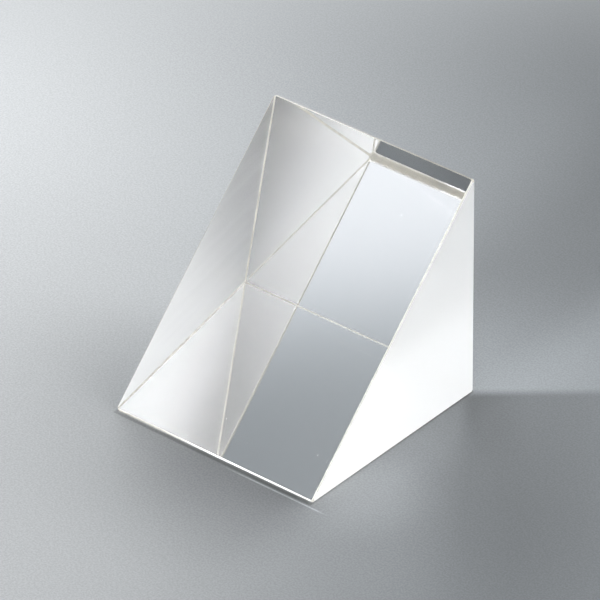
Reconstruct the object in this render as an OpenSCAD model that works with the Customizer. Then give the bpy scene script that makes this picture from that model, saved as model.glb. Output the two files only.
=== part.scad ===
// Right angle prism: one block of optical glass with a 45-45-90 section.
//
// The two legs of the triangle and the slope between them are polished. The two
// triangular ends are ground. Every edge carries a narrow ground bevel, and the
// six corners, where three bevels meet, carry a small facet each.
//
// The prism stands on one leg. X runs along its length, +Y points out of the
// upright leg, and +Z is up. The origin is in the middle of the base, at the
// height of the surface that the prism stands on.

/* [Prism] */

// Height of the upright leg and depth of the base, measured to the sharp corners
leg = 25; // [8:0.5:80]
// Distance between the two ground ends
length = 25; // [8:0.5:120]

/* [Bevels] */

// Face width of the bevel on the two 45 degree edges, the toe and the crest
sharp_edge_bevel = 0.38; // [0.1:0.02:1.2]
// Face width of the bevel on the square edge at the heel
square_edge_bevel = 0.16; // [0.06:0.02:1.2]
// Face width of the bevel around each ground end
end_bevel = 0.18; // [0.06:0.02:1.2]
// Face width of the facet on each of the six corners
corner_facet = 0.30; // [0.06:0.02:1.2]

/* [Hidden] */

// Directions in the section, counted from +Y towards +Z
base_faces = -90;
upright_faces = 0;
slope_faces = 135;

// The sharp corners of the section, before they are bevelled
toe = [-leg / 2, 0];
heel = [leg / 2, 0];
crest = [leg / 2, leg];

// How far a bevel of a given face width sets back the two faces beside it
sharp_setback = sharp_edge_bevel / (2 * sin(45 / 2));
square_setback = square_edge_bevel / (2 * sin(90 / 2));

// Larger than the blank in every direction, so a cutter always clears it
cutter = 2 * (leg + length);

// The point reached from a corner after a distance along a direction
function along(corner, direction, distance) =
    corner + distance * [cos(direction), sin(direction)];

// Two points each at the toe, the heel and the crest, where a bevel begins and ends
section = [
    along(toe, 45, sharp_setback),
    along(toe, 0, sharp_setback),
    along(heel, 180, square_setback),
    along(heel, 90, square_setback),
    along(crest, 270, sharp_setback),
    along(crest, 225, sharp_setback)
];

// A point on each side of the section, the way the side faces, and the face
// width of the bevel that breaks its edge at the ends
polished_sides = [
    [toe, base_faces, end_bevel],
    [heel, upright_faces, end_bevel],
    [crest, slope_faces, end_bevel]
];
bevelled_sides = [
    [section[0], (base_faces + slope_faces) / 2 + 180, corner_facet],
    [section[2], (base_faces + upright_faces) / 2, corner_facet],
    [section[4], (upright_faces + slope_faces) / 2, corner_facet]
];

// The cut and polished bar, with its three long edges already bevelled
module blank() {
    rotate([90, 0, 90])
        linear_extrude(height = length, center = true)
            polygon(section);
}

// What the grinding wheel takes off where one side of the section meets an end:
// everything beyond a 45 degree plane that leaves a face of the given width
module ground_away(end, side) {
    point = side[0];
    faces = side[1];
    width = side[2];
    lean = end > 0 ? 45 : 135;
    translate([end * length / 2, point[0], point[1]])
        rotate([faces, 0, 0])
            rotate([0, 0, lean])
                translate([-width / 2, -cutter / 2, -cutter / 2])
                    cube(cutter);
}

module prism() {
    color([0.80, 0.88, 0.90, 0.45])
        difference() {
            blank();
            for (end = [-1, 1])
                for (side = concat(polished_sides, bevelled_sides))
                    ground_away(end, side);
        }
}

prism();
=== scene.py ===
# %% [markdown]
# # A right angle prism on a grey table
#
# A right angle prism is one block of optical glass. Its section is a right
# triangle with two equal legs. The two legs and the slope are polished until
# they act as windows and mirrors, and the two triangular ends stay ground, so
# they look like frosted white glass. Every edge has a narrow ground bevel.
#
# Glass is the one material that can't be painted to look right. What it shows
# is the light around it, bent and mirrored. So this lesson models the block
# exactly, gives each face its own finish, and spends its care on the light.

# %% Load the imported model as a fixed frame
import bpy
from math import atan2, cos, pi, radians, sin, tan
from mathutils import Matrix, Vector


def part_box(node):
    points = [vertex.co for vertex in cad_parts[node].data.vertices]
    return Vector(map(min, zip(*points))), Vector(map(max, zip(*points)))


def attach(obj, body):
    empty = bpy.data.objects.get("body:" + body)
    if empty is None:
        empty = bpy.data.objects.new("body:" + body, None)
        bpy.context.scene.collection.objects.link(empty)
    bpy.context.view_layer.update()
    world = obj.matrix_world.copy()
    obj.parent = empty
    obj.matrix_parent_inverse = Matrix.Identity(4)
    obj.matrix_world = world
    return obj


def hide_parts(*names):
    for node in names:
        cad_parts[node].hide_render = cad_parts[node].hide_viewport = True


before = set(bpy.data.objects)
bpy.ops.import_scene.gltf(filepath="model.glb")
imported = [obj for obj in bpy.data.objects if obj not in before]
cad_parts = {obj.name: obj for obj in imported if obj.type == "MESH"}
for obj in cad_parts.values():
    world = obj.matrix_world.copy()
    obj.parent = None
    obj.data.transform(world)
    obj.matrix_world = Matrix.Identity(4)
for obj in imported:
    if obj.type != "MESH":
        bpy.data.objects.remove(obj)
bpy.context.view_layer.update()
low, high = (Vector(corner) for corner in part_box("prism"))
print("box in mm:", [round(1000 * side, 2) for side in high - low])

# %% [markdown]
# ## Sizes
#
# All lengths are in metres. The length of the block is read from the frame. The
# leg can't be read from it, because the sharp corners are ground away, so it is
# written here with the face widths of the bevels.

# %% Driving sizes
MM = 0.001
LENGTH = high.x - low.x
LEG = 25 * MM
SHARP_BEVEL = 0.38 * MM
SQUARE_BEVEL = 0.16 * MM
END_BEVEL = 0.18 * MM
CORNER_FACET = 0.30 * MM
print("leg and length in mm:", LEG / MM, round(LENGTH / MM, 3))

# %% [markdown]
# ## Picking and placing objects
#
# An operator acts on everything that is selected, so each step starts by
# clearing the selection and picking one object. A finished piece keeps its
# place in its mesh, so its object goes back to the origin.

# %% Selection helpers
def only(thing):
    """Selects one object and nothing else."""
    bpy.ops.object.select_all(action="DESELECT")
    thing.select_set(True)
    bpy.context.view_layer.objects.active = thing


def name_and_settle(name):
    """Names the object just added, and puts its place and size into its mesh."""
    thing = bpy.context.object
    thing.name = thing.data.name = name
    only(thing)
    bpy.ops.object.transform_apply(location=True, rotation=True, scale=True)
    print("added:", name, "with", len(thing.data.polygons), "faces")
    return thing


# %% [markdown]
# ## The block
#
# The real block is sawn from a slab and then ground plane by plane against a
# flat wheel. A boolean with wedges would give the same shape, but the bisect
# operator is closer to the wheel: it takes away all that lies past a plane and
# closes the cut with one flat face. So the block starts as a cube and every
# face that matters is a cut.

# %% A cube, cut along its diagonal
bpy.ops.object.select_all(action="DESELECT")
bpy.ops.mesh.primitive_cube_add(size=1, location=(0, 0, LEG / 2), scale=(LENGTH, LEG, LEG))
block = name_and_settle("prism_glass")


def grind(point, normal):
    """Takes away all of the block that lies past a plane, and closes the cut."""
    only(block)
    bpy.ops.object.mode_set(mode="EDIT")
    bpy.ops.mesh.select_all(action="SELECT")
    bpy.ops.mesh.bisect(
        plane_co=point, plane_no=normal, use_fill=True,
        clear_outer=True, threshold=1e-7,
    )
    bpy.ops.object.mode_set(mode="OBJECT")


BASE = Vector((0, 0, -1))
UPRIGHT = Vector((0, 1, 0))
SLOPE = Vector((0, -1, 1)).normalized()
TOE = Vector((0, -LEG / 2, 0))
HEEL = Vector((0, LEG / 2, 0))
CREST = Vector((0, LEG / 2, LEG))

grind(CREST, SLOPE)
print("faces after the diagonal cut:", len(block.data.polygons))

# %% [markdown]
# ## The bevels
#
# A sharp glass edge chips when it is touched, so the maker breaks every edge
# with a narrow bevel. Blender's own bevel would do this in one step, but it sets
# one width for edges of different angles, and here the toe and the crest are 45
# degrees and the heel is square. A bevel is one more plane on the wheel. It leans
# equally on the two faces that meet, and its depth follows from the face width
# that it should have.

# %% Bevels along the three long edges
def break_edge(corner, face_a, face_b, width):
    """Grinds a bevel of the given face width where two faces meet, and returns its plane."""
    out = (face_a + face_b).normalized()
    half_angle = (pi - face_a.angle(face_b)) / 2
    depth = width / (2 * tan(half_angle))
    point = corner - depth * out
    grind(point, out)
    return point, out


toe_bevel = break_edge(TOE, BASE, SLOPE, SHARP_BEVEL)
heel_bevel = break_edge(HEEL, BASE, UPRIGHT, SQUARE_BEVEL)
crest_bevel = break_edge(CREST, UPRIGHT, SLOPE, SHARP_BEVEL)
print("faces with the long edges broken:", len(block.data.polygons))

# %% Bevels around the two ends, and a facet on each corner
for end in (-1, 1):
    outward = Vector((end, 0, 0))
    middle = outward * LENGTH / 2
    for corner, face in ((TOE, BASE), (HEEL, UPRIGHT), (CREST, SLOPE)):
        break_edge(middle + corner, outward, face, END_BEVEL)
    for corner, face in (toe_bevel, heel_bevel, crest_bevel):
        break_edge(middle + corner, outward, face, CORNER_FACET)
print("faces with all edges broken:", len(block.data.polygons))

# %% [markdown]
# ## Small tools for shader nodes
#
# A finish is a small network of nodes. Written out in full, each node takes a
# few lines and the idea gets lost among them. So a few helpers feed a socket, add
# a node together with its inputs, do a step of arithmetic, and make a material.

# %% Helpers for nodes and materials
def feed(tree, socket, value):
    """Gives a socket its value, or links it to the output of another node."""
    if isinstance(value, bpy.types.NodeSocket):
        tree.links.new(value, socket)
    else:
        socket.default_value = value


def add_node(tree, kind, inputs=(), **settings):
    """Adds a shader node with its settings, and its inputs by name or number."""
    node = tree.nodes.new("ShaderNode" + kind)
    for name, value in settings.items():
        setattr(node, name, value)
    for socket, value in dict(inputs).items():
        feed(tree, node.inputs[socket], value)
    return node


def new_material(name, build):
    """A material whose surface is the shader that a function builds in its tree."""
    material = bpy.data.materials.new(name)
    material.use_nodes = True
    tree = material.node_tree
    tree.nodes.clear()
    place = add_node(tree, "TexCoord").outputs["Object"]
    add_node(tree, "OutputMaterial", {"Surface": build(tree, place)})
    print("material:", name, "with", len(tree.nodes), "nodes")
    return material


# %% Helpers for arithmetic
def calculate(tree, operation, a, b=0.0, clamp=False):
    """One step of arithmetic between two numbers or outputs."""
    node = add_node(tree, "Math", {0: a, 1: b}, operation=operation, use_clamp=clamp)
    return node.outputs[0]


def combine(tree, operation, *parts):
    """Several numbers or outputs, combined one after another by the same operation."""
    result = parts[0]
    for part in parts[1:]:
        result = calculate(tree, operation, result, part)
    return result


def dot(tree, vector, direction):
    """How far a vector reaches along a fixed direction."""
    node = add_node(tree, "VectorMath", {0: vector, 1: direction}, operation="DOT_PRODUCT")
    return node.outputs["Value"]


def scaled(tree, vector, amount):
    """A vector or colour, made longer or brighter by an amount."""
    node = add_node(tree, "VectorMath", {0: vector, "Scale": amount}, operation="SCALE")
    return node.outputs["Vector"]


def ease(tree, value, start, end, first=0.0, last=1.0):
    """Eases from first to last while a value goes from start to end, upwards or downwards."""
    inputs = {"Value": value, "From Min": start, "From Max": end, "To Min": first, "To Max": last}
    node = add_node(tree, "MapRange", inputs, interpolation_type="SMOOTHSTEP")
    return node.outputs["Result"]


# %% [markdown]
# ## Polished glass
#
# The legs and the slope are polished flat to a fraction of a wavelength, so the
# shader has no roughness at all. Its index is that of common crown glass, and
# that one number decides which rays pass through a face and which are mirrored
# inside. A Glass shader would do as well; the Principled one is used here. The
# Principled one is used because it keeps its settings when the model is
# exported.
#
# No polish is perfect. A few pinpoint pits stay, which opticians call digs, and
# each catches a speck of light. They come from the cells of a Voronoi texture:
# most cells are left out by their random colour, and in the rest a small dot at
# the middle becomes a pit in a Bump node.

# %% Material: polished glass
GLASS_INDEX = 1.517
DIG_SPACING = 1.0 * MM
DIG_RADIUS = 0.055
DIG_DEPTH = 0.03 * MM
DIG_STRENGTH = 0.4
SHARE_WITHOUT_DIG = 0.93


def plain_glass(tree, roughness, normal):
    """Glass of one even roughness, which stays glass in the export."""
    inputs = {
        "Base Color": (1, 1, 1, 1),
        "Roughness": roughness,
        "IOR": GLASS_INDEX,
        "Transmission Weight": 1.0,
    }
    if normal:
        inputs["Normal"] = normal
    return add_node(tree, "BsdfPrincipled", inputs).outputs["BSDF"]


def polished(tree, place):
    """Clear glass with a few digs. Their radius is a share of a cell."""
    cells = add_node(tree, "TexVoronoi", {"Vector": place, "Scale": 1 / DIG_SPACING})
    pit = ease(tree, cells.outputs["Distance"], DIG_RADIUS, 0.5 * DIG_RADIUS)
    lot = add_node(tree, "SeparateColor", {"Color": cells.outputs["Color"]}).outputs["Red"]
    pick = calculate(tree, "GREATER_THAN", lot, SHARE_WITHOUT_DIG)
    depth = calculate(tree, "MULTIPLY", pit, pick)
    relief = {"Height": depth, "Distance": DIG_DEPTH, "Strength": DIG_STRENGTH}
    bump = add_node(tree, "Bump", relief, invert=True)
    return plain_glass(tree, 0.0, bump.outputs["Normal"])


polished_glass = new_material("polished_glass", polished)

# %% [markdown]
# ## Ground glass
#
# Grinding leaves a surface of tiny pits, so light that passes is spread. Two
# effects share the work. Rough glass bends the light into a narrow cone, and the
# deepest pits scatter it every way, like milk. A Mix Shader holds the balance.
#
# Here the frosting is densest at the toe and thins towards the crest, so the
# crest lets more of the dark side of the room through. Wheel marks and grain
# disturb the balance a little: one noise is stretched along the wheel's path,
# and the other is as fine as the grit. The grain is also a slight bump. Most of a
# noise lies between 0.3 and 0.7, so that span is what moves the balance.

# %% Material: ground glass
GROUND_ROUGHNESS = 0.35
GROUND_TINT = (0.945, 0.945, 0.94)
MILK_AT_ORIGIN = 0.69
MILK_PER_METRE = Vector((0, -24.8, -15.2))
UNEVENNESS = 0.012
NOISE_SPAN = 0.3, 0.7
WHEEL_MARKS_PER_METRE = 420
WHEEL_PATH = (1, 0.16, 1.6)
GRIT_PER_METRE = 9000
GRIT_DEPTH = 0.002 * MM
GRIT_STRENGTH = 0.2


def noise(tree, place, per_metre, detail=2):
    """A soft random pattern with so many blotches to the metre."""
    inputs = {"Vector": place, "Scale": per_metre, "Detail": detail}
    return add_node(tree, "TexNoise", inputs).outputs["Fac"]


def frosted(tree, roughness, milk, tint, normal=None):
    """Rough glass, mixed with milk that scatters half onwards and half back."""
    color = {"Color": (*tint, 1)}
    onwards = add_node(tree, "BsdfTranslucent", color).outputs["BSDF"]
    back = add_node(tree, "BsdfDiffuse", color).outputs["BSDF"]
    scatter = add_node(tree, "MixShader", {"Fac": 0.5, 1: onwards, 2: back}).outputs["Shader"]
    glass = plain_glass(tree, roughness, normal)
    return add_node(tree, "MixShader", {"Fac": milk, 1: glass, 2: scatter}).outputs["Shader"]


def ground_end(tree, place):
    """Frosted glass that is milkiest at the toe, with wheel marks and grain."""
    along_path = add_node(tree, "Mapping", {"Vector": place, "Scale": WHEEL_PATH}).outputs["Vector"]
    marks = noise(tree, along_path, WHEEL_MARKS_PER_METRE, detail=3)
    grit = noise(tree, place, GRIT_PER_METRE)
    wave = ease(tree, marks, *NOISE_SPAN, -UNEVENNESS, UNEVENNESS)
    grain = ease(tree, grit, *NOISE_SPAN, -UNEVENNESS, UNEVENNESS)
    disturbance = calculate(tree, "ADD", wave, grain)
    steady = calculate(tree, "ADD", dot(tree, place, MILK_PER_METRE), MILK_AT_ORIGIN)
    milk = calculate(tree, "ADD", steady, disturbance, clamp=True)
    relief = {"Height": grit, "Distance": GRIT_DEPTH, "Strength": GRIT_STRENGTH}
    bump = add_node(tree, "Bump", relief)
    return frosted(tree, GROUND_ROUGHNESS, milk, GROUND_TINT, bump.outputs["Normal"])


ground_glass = new_material("ground_glass", ground_end)

# %% [markdown]
# ## The bevels' own finish
#
# A bevel is ground too, but by a finer stone and by hand. It bends light into a
# narrower cone, looks cream rather than white, and is uneven where small chips
# broke out. The same two shaders are used, with the balance moved by a noise
# whose blotches are about as long as such chips.

# %% Material: ground bevel
BEVEL_ROUGHNESS = 0.25
BEVEL_TINT = (0.93, 0.87, 0.72)
LEAST_MILK = 0.38
MOST_MILK = 0.50
CHIPS_PER_METRE = 700
CHIPS_SPAN = 0.35, 0.65


def ground_bevel(tree, place):
    """Frosted glass that is more and less milky in short blotches."""
    chips = noise(tree, place, CHIPS_PER_METRE)
    milk = ease(tree, chips, *CHIPS_SPAN, LEAST_MILK, MOST_MILK)
    return frosted(tree, BEVEL_ROUGHNESS, milk, BEVEL_TINT)


bevel_glass = new_material("bevel_glass", ground_bevel)

# %% [markdown]
# ## Which face has which finish
#
# A face's finish is known from the way it points. The base, the upright leg and
# the slope are polished, the two faces along X are the ground ends, and all the
# rest is bevel. This is safer than face numbers, which change with every cut.

# %% Finishes by direction
FINISHES = (polished_glass, ground_glass, bevel_glass)
POLISHED_WAYS = (BASE, UPRIGHT, SLOPE)
ALIKE = 0.999


def finish_of(face):
    """The place in FINISHES for a face, from its direction."""
    if max(face.normal.dot(way) for way in POLISHED_WAYS) > ALIKE:
        return FINISHES.index(polished_glass)
    if abs(face.normal.x) > ALIKE:
        return FINISHES.index(ground_glass)
    return FINISHES.index(bevel_glass)


for finish in FINISHES:
    block.data.materials.append(finish)
for face in block.data.polygons:
    face.material_index = finish_of(face)
counts = [sum(face.material_index == n for face in block.data.polygons) for n in range(len(FINISHES))]
print("polished, ground and bevel faces:", counts)

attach(block, "root")
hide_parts("prism")

# %% [markdown]
# ## The light that the block throws on the table
#
# Light that has passed through the block lands on the table as a pale fan past
# the right end, a glow in front of that end, and hairlines by the toe and under
# the heel's bevel, with shade between them. To trace such light cleanly takes a
# tiny, very bright lamp and thousands of samples. So here it is laid into the
# table's colour as soft shapes, placed from the block's own corners. They
# belong to the table, and stay where they are in every view.
#
# Each shape is a strength, above zero for light and below zero for shade,
# multiplied by eased edges. An edge is written as the place where it starts and
# the place where it is complete, in millimetres. Two edges bound a span.

# %% Edges, spans and shapes
def beside(tree, place, point, way):
    """How far a place lies from a point along a direction."""
    apart = add_node(tree, "VectorMath", {0: place, 1: point}, operation="SUBTRACT")
    return dot(tree, apart.outputs["Vector"], way)


def edge(tree, value, start, end, first=0.0, last=1.0):
    """Eases from first to last between a start and an end in millimetres."""
    return ease(tree, value, start * MM, end * MM, first, last)


def shape(tree, strength, *spans):
    """A strength inside all its spans, which falls to 0 outside any of them.

    A span is a value with the two edges that bound it.
    """
    edges = [edge(tree, value, *ends) for value, bounds in spans for ends in bounds]
    return combine(tree, "MULTIPLY", strength, *edges)


# %% The fan and the shade in front of it
FAN_TURN = radians(40)
FAN_WAY = Vector((cos(FAN_TURN), sin(FAN_TURN), 0))
BEHIND_FAN = Vector((-sin(FAN_TURN), cos(FAN_TURN), 0))
RIGHT_HEEL = Vector((LENGTH / 2, LEG / 2, 0))

FAN = 0.50
FAN_ALONG = (-5, 2), (32, 0)
FAN_BEHIND = (-1.1, 0.7), (24, 1.5)
WIDE_SHADE = -0.28
WIDE_ALONG = (-9, 4), (24, 2)
WIDE_BEHIND = (-60, -20), (0.7, -1.1)
HEART = -0.18
HEART_ALONG = (-2, 0.5), (6, 0)
HEART_BEHIND = (-16, -2), (0.7, -1.1)


def fan_and_shade(tree, place):
    """The pale fan behind a sharp front edge, and the shade in front of that edge.

    The shade is wide and faint, with a small dark heart close to the heel.
    """
    along = beside(tree, place, RIGHT_HEEL, FAN_WAY)
    behind = beside(tree, place, RIGHT_HEEL, BEHIND_FAN)
    fan = shape(tree, FAN, (along, FAN_ALONG), (behind, FAN_BEHIND))
    wide = shape(tree, WIDE_SHADE, (along, WIDE_ALONG), (behind, WIDE_BEHIND))
    heart = shape(tree, HEART, (along, HEART_ALONG), (behind, HEART_BEHIND))
    return combine(tree, "ADD", fan, wide, heart)


print("the fan starts at, in mm:", [round(side / MM, 2) for side in RIGHT_HEEL])

# %% The glow by the right end, and the shade in front of the toe
GLOW_MIDDLE = Vector((LENGTH / 2 + 3 * MM, -LEG / 2 + 4.5 * MM, 0))
ACROSS = Vector((1, 0, 0))
TOWARDS_FRONT = Vector((0, -1, 0))

GLOW = 0.22
GLOW_REACH = 9, 1
CONTACT = -0.26
CONTACT_REACH = 20, 0
CONTACT_ACROSS = (-14, 2), (17, 9)


def glow_and_contact(tree, place):
    """The round glow beside the right end, and the contact shade along the toe."""
    apart = add_node(tree, "VectorMath", {0: place, 1: GLOW_MIDDLE}, operation="DISTANCE")
    glow = calculate(tree, "MULTIPLY", edge(tree, apart.outputs["Value"], *GLOW_REACH), GLOW)
    before_toe = beside(tree, place, TOE, TOWARDS_FRONT)
    along_toe = shape(tree, CONTACT, (dot(tree, place, ACROSS), CONTACT_ACROSS))
    contact = calculate(tree, "MULTIPLY", edge(tree, before_toe, *CONTACT_REACH), along_toe)
    return calculate(tree, "ADD", glow, contact)


print("the glow is around, in mm:", [round(side / MM, 2) for side in GLOW_MIDDLE])

# %% Painted hairlines of light by the toe and under the heel, and painted shadow all round the foot
TOE_LINE = 0.8
TOE_LINE_ACROSS = (1, 6), (15, 13)
TOE_LINE_BEFORE = (0.14, 0.24), (0.42, 0.28)
# Painted shadow: a thin dark line on the table just outside the block's foot.
GAP_SHADOW = -0.3
GAP_SHADOW_OUTSIDE = (-0.4, -0.2), (0.14, -0.04)
HEEL_LINE = 2.0
HEEL_LINE_PAST = (-0.18, -0.08), (0.14, 0.02)
HEEL_LINE_TIPS = 0, -1
HEEL_LINE_RISE = -8, -2
HEEL_LINE_ON_LEFT = 0.45


def fine_lines(tree, place):
    """The two painted hairlines of light, and a painted shadow line where the block meets the table."""
    across = dot(tree, place, ACROSS)
    before_toe = beside(tree, place, TOE, TOWARDS_FRONT)
    toe_line = shape(tree, TOE_LINE, (across, TOE_LINE_ACROSS), (before_toe, TOE_LINE_BEFORE))
    spread = add_node(tree, "VectorMath", {0: place}, operation="ABSOLUTE").outputs["Vector"]
    past_ends = beside(tree, spread, RIGHT_HEEL, ACROSS)
    past_legs = beside(tree, spread, RIGHT_HEEL, -TOWARDS_FRONT)
    gap_shadow = shape(tree, GAP_SHADOW, (calculate(tree, "MAXIMUM", past_ends, past_legs), GAP_SHADOW_OUTSIDE))
    past_heel = beside(tree, place, HEEL, -TOWARDS_FRONT)
    heel_line = shape(tree, HEEL_LINE, (past_heel, HEEL_LINE_PAST))
    within_ends = edge(tree, past_ends, *HEEL_LINE_TIPS)
    stronger_right = edge(tree, across, *HEEL_LINE_RISE, HEEL_LINE_ON_LEFT, 1.0)
    heel_line = combine(tree, "MULTIPLY", heel_line, within_ends, stronger_right)
    return combine(tree, "ADD", toe_line, gap_shadow, heel_line)


print("the toe's hairline lies before the toe, in mm:", TOE_LINE_BEFORE[0][1], "to", TOE_LINE_BEFORE[1][1])

# %% All the shapes together
def thrown_light(tree, place):
    """How much the table's colour is multiplied by: 1 where it is left as it is."""
    shapes = [draw(tree, place) for draw in (fan_and_shade, glow_and_contact, fine_lines)]
    return combine(tree, "ADD", 1.0, *shapes)


# %% [markdown]
# ## The table
#
# The table is a wide plane, a hair below the base so that the two surfaces never
# share a plane. It is a matt grey laminate with a fine grain. Its colour holds
# painted light: it is painted paler on the left and deeper and cooler on the right
# and towards the far right corner, as the falloff of the panel's light.
#
# Far from the block the table fades into the pale backdrop, so that no horizon
# shows in the low views. The Light Path node keeps the fade to what is seen,
# directly or in the glass, so it adds no light to the matt table.

# %% Table
TABLE_SIDE = 1.6
TABLE_GAP = 0.02 * MM
TABLE_ROUGHNESS = 0.5
TABLE_LIT_SIDE = (0.49, 0.502, 0.512, 1)
TABLE_SHADED_SIDE = (0.255, 0.273, 0.288, 1)
TO_THE_RIGHT = Vector((0.763, 0.646, 0))
FALLOFF_SPAN = -34, 24
TO_THE_FAR_RIGHT = Vector((-0.34, 1.02, 0))
FAR_RIGHT_SPAN = 30, 85
FAR_RIGHT_SHADE = 0.62
GRAIN_PER_METRE = 5200
LEAST_SPECKLE = 0.90
MOST_SPECKLE = 1.10
BACKDROP = (0.62, 0.64, 0.655, 1)
FADE_SPAN = 62, 135


def seen(tree, share_in_glass=1.0):
    """1 for what the camera sees directly, and a share of it for what shows in glass."""
    ray = add_node(tree, "LightPath").outputs
    in_glass = calculate(tree, "MAXIMUM", ray["Is Glossy Ray"], ray["Is Transmission Ray"])
    shown = calculate(tree, "MULTIPLY", in_glass, share_in_glass)
    return calculate(tree, "MAXIMUM", ray["Is Camera Ray"], shown)


def table_color(tree, place):
    """A painted light falloff on the laminate's grey, its grain, and the light that the block throws."""
    # Painted light: pale and neutral where lit on the left, darker and cooler where shaded on the right.
    light_falloff = edge(tree, dot(tree, place, TO_THE_RIGHT), *FALLOFF_SPAN)
    falloff_colors = {"Factor": light_falloff, 6: TABLE_LIT_SIDE, 7: TABLE_SHADED_SIDE}
    falloff_color = add_node(tree, "Mix", falloff_colors, data_type="RGBA").outputs[2]
    # Painted shade that deepens towards the far right corner.
    reach = dot(tree, place, TO_THE_FAR_RIGHT)
    far_right_shade = edge(tree, reach, *FAR_RIGHT_SPAN, 1.0, FAR_RIGHT_SHADE)
    grain = noise(tree, place, GRAIN_PER_METRE)
    speckle = ease(tree, grain, *NOISE_SPAN, LEAST_SPECKLE, MOST_SPECKLE)
    level = combine(tree, "MULTIPLY", speckle, far_right_shade, thrown_light(tree, place))
    return scaled(tree, falloff_color, level)


def table_paint(tree, place):
    """The laminate near the block, which fades into the backdrop far from it."""
    finish = {"Base Color": table_color(tree, place), "Roughness": TABLE_ROUGHNESS}
    paint = add_node(tree, "BsdfPrincipled", finish).outputs["BSDF"]
    reach = add_node(tree, "VectorMath", {0: place}, operation="LENGTH").outputs["Value"]
    far = calculate(tree, "MULTIPLY", edge(tree, reach, *FADE_SPAN), seen(tree))
    distance = add_node(tree, "Emission", {"Color": BACKDROP, "Strength": 1.0}).outputs["Emission"]
    return add_node(tree, "MixShader", {"Fac": far, 1: paint, 2: distance}).outputs["Shader"]


bpy.ops.object.select_all(action="DESELECT")
bpy.ops.mesh.primitive_plane_add(size=TABLE_SIDE, location=(0, 0, -TABLE_GAP))
table = name_and_settle("table_top")
table.data.materials.append(new_material("grey_table", table_paint))
print("table:", TABLE_SIDE, "m square")

# %% [markdown]
# ## The large light on the left
#
# The bright light is a low curved panel on the left, like a paper screen bent
# round the table. Low matters: the slope and the two legs send a ray back
# towards the side it came from, so what shows in them is the strip just above
# this panel, and the panel itself must stay out of that strip.
#
# The panel is an open cylinder, from which all faces outside its arc are
# deleted. It shines more at the end behind the block than at the end in front.

# %% Light panel
PANEL_RADIUS = 160 * MM
PANEL_HEIGHT = 88 * MM
PANEL_FROM = radians(210.5)
PANEL_TO = radians(328)
PANEL_FACES_ROUND = 120
PANEL_COLOR = (0.955, 0.982, 1.0, 1)
PANEL_POWER = 3.40
PANEL_TILT = 0.4


def azimuth(point):
    """The direction of a point, counted from the front towards +X, from 0 to a full turn."""
    return atan2(point.x, -point.y) % (2 * pi)


bpy.ops.object.select_all(action="DESELECT")
bpy.ops.mesh.primitive_cylinder_add(
    vertices=PANEL_FACES_ROUND, radius=PANEL_RADIUS, depth=PANEL_HEIGHT,
    end_fill_type="NOTHING", location=(0, 0, PANEL_HEIGHT / 2),
)
panel = name_and_settle("light_panel")
bpy.ops.object.mode_set(mode="EDIT")
bpy.ops.mesh.select_mode(type="FACE")
bpy.ops.mesh.select_all(action="DESELECT")
bpy.ops.object.mode_set(mode="OBJECT")
for face in panel.data.polygons:
    face.select = not PANEL_FROM < azimuth(face.center) < PANEL_TO
bpy.ops.object.mode_set(mode="EDIT")
bpy.ops.mesh.delete(type="FACE")
bpy.ops.object.mode_set(mode="OBJECT")
print("panel faces left:", len(panel.data.polygons))

# %% The panel's shine
def panel_shine(tree, place):
    """An even cool light whose power rises towards the end behind the block."""
    tilt = dot(tree, place, Vector((0, PANEL_TILT / PANEL_RADIUS, 0)))
    power = calculate(tree, "MULTIPLY", calculate(tree, "ADD", tilt, 1.0), PANEL_POWER)
    return add_node(tree, "Emission", {"Color": PANEL_COLOR, "Strength": power}).outputs["Emission"]


panel.data.materials.append(new_material("panel_light", panel_shine))
panel.visible_camera = False

# %% [markdown]
# ## The room
#
# All other light comes from the world, a picture of the room that is painted
# with a few soft shapes. A shape is placed by its direction or by its height in
# degrees over the horizon:
#
# - the wall over the panel, bright at its foot and dim above, which the polished
#   faces show as a soft gradient
# - a low strip of light on the right, which fills the right end
# - a soft light behind, which draws the shadow in front of the toe
# - a very dim rest, because every other bright shape would show in the glass.
#
# Behind all this is the pale backdrop. The camera sees it everywhere, and the
# glass shows it overhead, above the wall and the lights.

# %% World
world = bpy.data.worlds.new("studio_room")
bpy.context.scene.world = world
world.use_nodes = True
room = world.node_tree
room.nodes.clear()
gaze = add_node(room, "TexCoord").outputs["Generated"]
sine = dot(room, gaze, Vector((0, 0, 1)))
height = calculate(room, "MULTIPLY", calculate(room, "ARCSINE", sine), 180 / pi)


def heading(turn, up=0.0):
    """The direction at some degrees round from the front and some degrees up."""
    turn, up = radians(turn), radians(up)
    return Vector((sin(turn) * cos(up), -cos(turn) * cos(up), sin(up)))


def near(direction, outer, core):
    """1 within core degrees of a direction, and 0 past outer degrees from it."""
    return ease(room, dot(room, gaze, direction), cos(radians(outer)), cos(radians(core)))


print("the right of the room is at:", [round(side, 3) for side in heading(90)])

# %% [markdown]
# ## The wall over the panel
#
# The slope shows this wall large and sharp. A Color Ramp with many stops would
# draw its gradient, but two simple parts say better what it is. The first is the
# glow that the panel leaves on the wall's foot, which fades over a degree or two
# with a soft shoulder and a soft tail. The curve with that shape is the
# hyperbolic tangent. The second is the dim wall itself, which falls slowly and
# ends softly at its top. The darker the wall is, the cooler it looks.

# %% Wall
FOOT_GLOW = 0.67
GLOW_MIDDLE = 33.3
GLOW_SOFTNESS = 0.76
DIM_FROM = 33.5
DIM_TO = 40.9
DIM_AT_FOOT = 0.31
DIM_AT_TOP = 0.173
WALL_TOP = 42.0
SHARE_ABOVE = 0.65
BRIGHT_TINT = (0.922, 0.956, 1.0, 1)
DIM_TINT = (0.814, 0.925, 1.0, 1)

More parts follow.
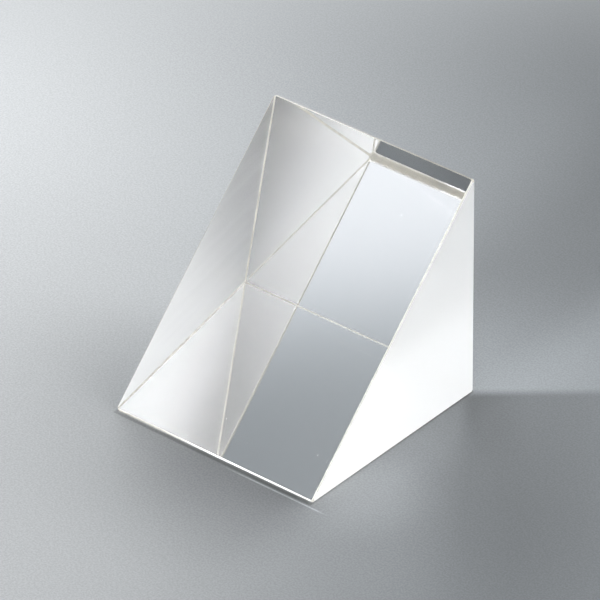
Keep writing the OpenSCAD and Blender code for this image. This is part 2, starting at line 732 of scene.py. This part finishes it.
past_middle = calculate(room, "SUBTRACT", height, GLOW_MIDDLE)
fade = calculate(room, "TANH", calculate(room, "DIVIDE", past_middle, GLOW_SOFTNESS))
foot_glow = calculate(room, "MULTIPLY", calculate(room, "SUBTRACT", 1.0, fade), FOOT_GLOW / 2)
heights = {"Value": height, "From Min": DIM_FROM, "From Max": DIM_TO}
levels = {"To Min": DIM_AT_FOOT, "To Max": DIM_AT_TOP}
dim = add_node(room, "MapRange", {**heights, **levels}).outputs["Result"]
dim_wall = calculate(room, "MULTIPLY", dim, ease(room, height, DIM_TO, WALL_TOP, 1.0, SHARE_ABOVE))
wall = calculate(room, "ADD", foot_glow, dim_wall)
tints = {"Factor": wall, 6: DIM_TINT, 7: BRIGHT_TINT}
tint = add_node(room, "Mix", tints, data_type="RGBA").outputs[2]
wall_side = near(heading(305), outer=84.26, core=56.63)
wall_light = scaled(room, tint, calculate(room, "MULTIPLY", wall, wall_side))
print("the glow is half gone at", GLOW_MIDDLE, "degrees up, and the wall ends at", WALL_TOP)

# %% [markdown]
# ## The other lights and the backdrop
#
# The strip, the light behind and the rest are white, so they are plain numbers
# that are added to the wall's colour. A Light Path node then tells what is seen
# from what is lit: the camera gets the backdrop, and all other rays get the
# lights, apart from the share of the backdrop that the glass shows overhead.

# %% Strip, light behind, rest and backdrop
STRIP_POWER = 11.2
STRIP_TOP = 17.5, 6.5
REAR_POWER = 4.9
REST = 0.04
OVERHEAD = 46, 58

strip_sides = near(heading(93), outer=60, core=38)
strip = combine(room, "MULTIPLY", STRIP_POWER, strip_sides, ease(room, height, *STRIP_TOP))
rear_side = near(heading(153.5, 36), outer=33.5, core=13.4)
rear = calculate(room, "MULTIPLY", rear_side, REAR_POWER)
white = combine(room, "ADD", strip, rear, REST)
light = add_node(room, "VectorMath", {0: wall_light, 1: white}, operation="ADD").outputs["Vector"]
lit = add_node(room, "Background", {"Color": light, "Strength": 1.0}).outputs["Background"]
pale = add_node(room, "Background", {"Color": BACKDROP, "Strength": 1.0}).outputs["Background"]
backdrop_share = seen(room, ease(room, height, *OVERHEAD))
sky = add_node(room, "MixShader", {"Fac": backdrop_share, 1: lit, 2: pale}).outputs["Shader"]
add_node(room, "OutputWorld", {"Surface": sky})
print("world nodes:", len(room.nodes))

# %% [markdown]
# ## The camera
#
# The camera stands to the right of the front, a third of the way up, far away
# with a long lens, so that parallel edges stay nearly parallel. It leans by about
# half a degree, as a camera on a tripod that was set by eye does.

# %% Camera
CAMERA_TURN = 40.279
CAMERA_UP = 33.286
CAMERA_ROLL = radians(-0.621)
CAMERA_DISTANCE = 580.6 * MM
LENS = 358.88
NEAREST = 10 * MM
AIM_HEIGHT = 0.4 * LEG
AIM_RIGHT = 0.02705 * LEG
AIM_UP = 0.06417 * LEG

backward = heading(CAMERA_TURN, CAMERA_UP)
level_right = Vector((0, 0, 1)).cross(backward).normalized()
level_up = backward.cross(level_right)
right = cos(CAMERA_ROLL) * level_right + sin(CAMERA_ROLL) * level_up
upward = cos(CAMERA_ROLL) * level_up - sin(CAMERA_ROLL) * level_right
aim = Vector((0, 0, AIM_HEIGHT)) + AIM_RIGHT * right + AIM_UP * upward
turn = Matrix((right, upward, backward)).transposed().to_4x4()

bpy.ops.object.select_all(action="DESELECT")
bpy.ops.object.camera_add()
camera = bpy.context.object
camera.name = camera.data.name = "camera"
camera.data.lens = LENS
camera.data.clip_start = NEAREST
camera.matrix_world = Matrix.Translation(aim + CAMERA_DISTANCE * backward) @ turn
bpy.context.scene.camera = camera
print("camera at:", [round(side, 3) for side in camera.matrix_world.translation])

# %% [markdown]
# ## How light is traced
#
# In glass a ray is mirrored many times before it leaves, so the bounce limits
# are raised. The colours are shown as they are, with no film look.

# %% Scene settings
scene = bpy.context.scene
scene.view_settings.view_transform = "Standard"
scene.cycles.max_bounces = 32
scene.cycles.diffuse_bounces = 8
scene.cycles.glossy_bounces = 24
scene.cycles.transmission_bounces = 24
print("bounces:", scene.cycles.max_bounces, "view:", scene.view_settings.view_transform)
